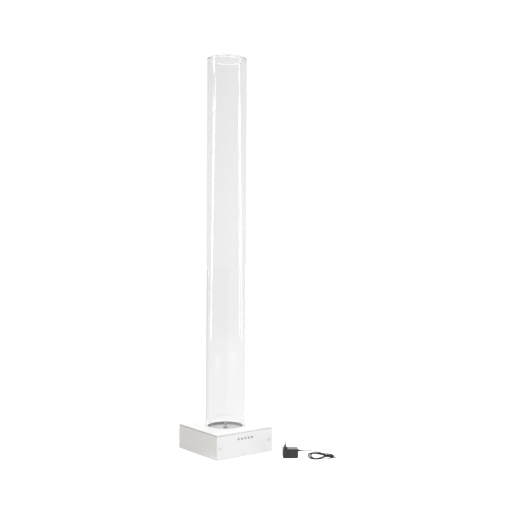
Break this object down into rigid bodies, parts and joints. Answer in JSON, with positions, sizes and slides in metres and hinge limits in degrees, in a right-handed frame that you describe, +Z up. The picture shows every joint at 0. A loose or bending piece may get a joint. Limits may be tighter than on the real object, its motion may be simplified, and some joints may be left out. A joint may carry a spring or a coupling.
{
  "type": "bubble tube floor lamp",
  "caption": "Clear upright water tube on a square base with a light ring, an air pump and push buttons; a separate plug-top power supply lies beside it.",
  "frame": {"origin": "on the floor under the centre of the base", "axes": "+Z up along the tube, the row of buttons on the -Y side, the DC inlet on the +Y side"},
  "size_m": [0.3911, 0.483, 1.485],
  "materials": {
    "clear_acrylic": "clear polished acrylic",
    "black_seal": "soft black silicone",
    "grey_plastic": "moulded, fine grain",
    "zinc_steel": "zinc plated",
    "white_lacquer": "satin white lacquer",
    "white_paint": "painted white screw heads",
    "raw_board": "raw fibreboard",
    "post_wood": "planed softwood",
    "foot_rubber": "moulded rubber",
    "silver_plate": "finely brushed",
    "white_board": "white solder mask",
    "lens_plastic": "clear lens over the diode",
    "nozzle_metal": "polished",
    "brass_nut": "machined",
    "pale_plastic": "natural nylon",
    "silicone_hose": "translucent silicone",
    "magnet_grey": "sintered ferrite",
    "rotor_metal": "laminations and copper winding",
    "black_plastic": "moulded",
    "green_board": "green solder mask",
    "grey_button": "satin moulded",
    "adapter_black": "fine spark-eroded grain",
    "pin_metal": "nickel plated",
    "cord_black": "soft extruded jacket",
    "tie_black": "coated wire tie",
    "plug_black": "over-moulded grip and nickel sleeve"
  },
  "bodies": {
    "base": {"tube": "clear_acrylic", "end_plate": "clear_acrylic", "seal_ring": "black_seal", "collar_ring": "white_lacquer", "gaskets": "black_seal", "tube_socket": "grey_plastic", "top_plate": "white_lacquer", "deck_board": "raw_board", "front_panel": "white_lacquer", "rear_panel": "white_lacquer", "left_panel": "white_lacquer", "right_panel": "white_lacquer", "bottom_board": "raw_board", "corner_posts": "post_wood", "board_screws": "zinc_steel", "panel_screws": "white_paint", "rubber_feet": "foot_rubber", "foot_screws": "zinc_steel", "reflector_plate": "silver_plate", "led_board": "white_board", "led_lenses": "lens_plastic", "led_board_screws": "zinc_steel", "air_nozzle": "nozzle_metal", "nozzle_nut": "brass_nut", "check_valve": "pale_plastic", "air_hoses": "silicone_hose", "pump_mount": "foot_rubber", "pump_motor_can": "zinc_steel", "pump_magnets": "magnet_grey", "pump_bushes": "brass_nut", "pump_frame": "black_plastic", "pump_wobble_plate": "pale_plastic", "pump_diaphragm": "foot_rubber", "pump_head": "black_plastic", "pump_bolts": "zinc_steel", "intake_filter": "pale_plastic", "control_board": "green_board", "button_switches": "black_plastic", "board_standoffs": "zinc_steel", "dc_jack": "black_plastic", "jack_nut": "zinc_steel", "inner_wiring": "cord_black"},
    "lid": {"lid": "clear_acrylic"},
    "pump_rotor": {"pump_rotor": "rotor_metal"},
    "power_supply": {"adapter_case": "adapter_black", "adapter_cover": "adapter_black", "adapter_board": "green_board", "plug_head": "adapter_black", "plug_pins": "pin_metal", "cord_relief": "cord_black", "cord_lead": "cord_black", "cord_hank": "cord_black", "cord_tail": "cord_black", "cord_tie": "tie_black", "dc_plug": "plug_black"},
    "button_1": {"button_1": "grey_button"},
    "button_2": {"button_2": "grey_button"},
    "button_3": {"button_3": "grey_button"},
    "button_4": {"button_4": "grey_button"},
    "button_5": {"button_5": "grey_button"}
  },
  "joints": [
    {"name": "lid_lift", "type": "slide", "parent": "base", "child": "lid", "axis": [0, 0, 1], "range_m": [0, 0.06]},
    {"name": "pump_spin", "type": "hinge", "parent": "base", "child": "pump_rotor", "pos_m": [0, 0.058, 0.0275], "axis": [1, 0, 0], "continuous": true},
    {"name": "supply_lift", "type": "slide", "parent": "base", "child": "power_supply", "axis": [0, 0, 1], "range_m": [0, 0.2]},
    {"name": "button_1_press", "type": "slide", "parent": "base", "child": "button_1", "axis": [0, 1, 0], "range_m": [0, 0.001], "stiffness_N_per_m": 800, "springref_m": -0.0008},
    {"name": "button_2_press", "type": "slide", "parent": "base", "child": "button_2", "axis": [0, 1, 0], "range_m": [0, 0.001], "stiffness_N_per_m": 800, "springref_m": -0.0008},
    {"name": "button_3_press", "type": "slide", "parent": "base", "child": "button_3", "axis": [0, 1, 0], "range_m": [0, 0.001], "stiffness_N_per_m": 800, "springref_m": -0.0008},
    {"name": "button_4_press", "type": "slide", "parent": "base", "child": "button_4", "axis": [0, 1, 0], "range_m": [0, 0.001], "stiffness_N_per_m": 800, "springref_m": -0.0008},
    {"name": "button_5_press", "type": "slide", "parent": "base", "child": "button_5", "axis": [0, 1, 0], "range_m": [0, 0.001], "stiffness_N_per_m": 800, "springref_m": -0.0008}
  ]
}
